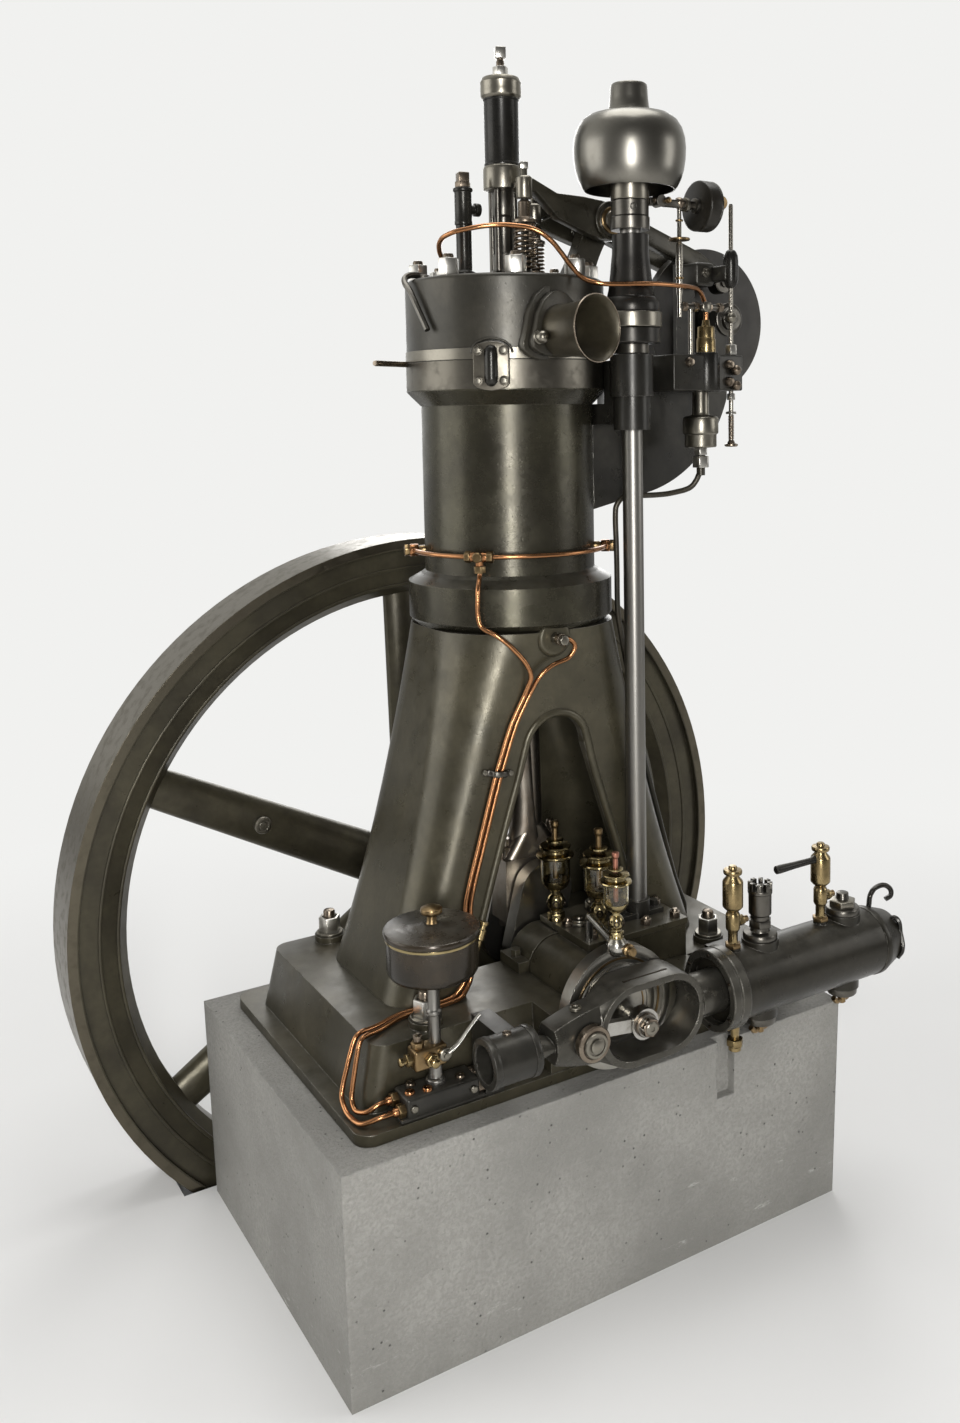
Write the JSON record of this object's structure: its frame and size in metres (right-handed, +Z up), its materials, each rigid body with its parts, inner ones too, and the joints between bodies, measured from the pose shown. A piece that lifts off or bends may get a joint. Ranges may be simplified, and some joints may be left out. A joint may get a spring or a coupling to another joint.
{
  "type": "stationary diesel engine",
  "caption": "Small upright diesel engine on a concrete block: open crank frame, flywheel, bell governor, valve gear, front air compressor, oil tank and sight oilers.",
  "frame": {"origin": "centre of the concrete block's underside, straight under the cylinder", "axes": "+Z up, +Y back along the crankshaft towards the flywheel, +X to the right seen from the front"},
  "size_m": [1.582, 1.029, 2.554],
  "materials": {
    "graphite_iron": "blackened graphite paint with a satin sheen",
    "polished_steel": "turned and polished steel, slightly dulled",
    "brass": "aged brass",
    "copper": "copper pipe",
    "black_pipe": "black painted pipe",
    "concrete": null
  },
  "bodies": {
    "engine": {"a_frame": "graphite_iron", "bearing_oilers": "brass", "bed_plate": "graphite_iron", "camshaft": "graphite_iron", "compressor_cylinder": "graphite_iron", "compressor_lubricators": "brass", "compressor_valves": "polished_steel", "compressor_yoke": "graphite_iron", "cylinder_head": "graphite_iron", "cylinder_jacket": "graphite_iron", "disc_oiler": "brass", "filler_cap": "graphite_iron", "foot_bearing": "graphite_iron", "foundation_block": "concrete", "foundation_bolts": "polished_steel", "frame_feed_pipe": "copper", "fuel_pipe": "black_pipe", "fuel_pump": "graphite_iron", "fuel_valve": "polished_steel", "gear_case": "graphite_iron", "gear_drum": "graphite_iron", "governor_bracket": "graphite_iron", "hand_rod": "polished_steel", "head_nuts": "polished_steel", "head_pipe": "copper", "intake_horn": "graphite_iron", "jacket_feed_pipe": "copper", "jacket_ring_pipe": "copper", "main_bearing_caps": "graphite_iron", "oil_pump": "graphite_iron", "oil_tank": "graphite_iron", "oiler_arm": "polished_steel", "pump_cap": "brass", "regulating_gear": "graphite_iron", "rocker_arms": "polished_steel", "rocker_bracket": "graphite_iron", "sprung_valves": "polished_steel", "starting_valve": "graphite_iron", "tank_lid": "graphite_iron", "tank_stand": "polished_steel", "water_cover": "graphite_iron", "yoke_guide": "graphite_iron"},
    "crank": {"crankshaft": "polished_steel", "crank_disc": "polished_steel", "flywheel": "graphite_iron"},
    "rod": {"connecting_rod": "polished_steel"},
    "compressor_link": {"compressor_rod": "polished_steel"},
    "governor": {"vertical_shaft": "polished_steel", "governor_bell": "polished_steel", "governor_sleeve": "polished_steel"}
  },
  "joints": [
    {"name": "crank_spin", "type": "hinge", "parent": "engine", "child": "crank", "pos_m": [0, 0, 0.803], "axis": [0, 1, 0], "continuous": true},
    {"name": "rod_pivot", "type": "hinge", "parent": "crank", "child": "rod", "pos_m": [0.03106, 0, 0.91891], "axis": [0, 1, 0], "continuous": true},
    {"name": "compressor_rod_pivot", "type": "hinge", "parent": "crank", "child": "compressor_link", "pos_m": [0.01992, -0.405, 0.78629], "axis": [0, 1, 0], "continuous": true},
    {"name": "governor_spin", "type": "hinge", "parent": "engine", "child": "governor", "pos_m": [0.164, -0.189, 1.6], "axis": [0, 0, 1], "continuous": true}
  ],
  "couplings": [
    {"joint": "rod_pivot", "follows": "crank_spin", "ratio": -1},
    {"joint": "compressor_rod_pivot", "follows": "crank_spin", "ratio": -1},
    {"joint": "governor_spin", "follows": "crank_spin", "ratio": 1}
  ]
}
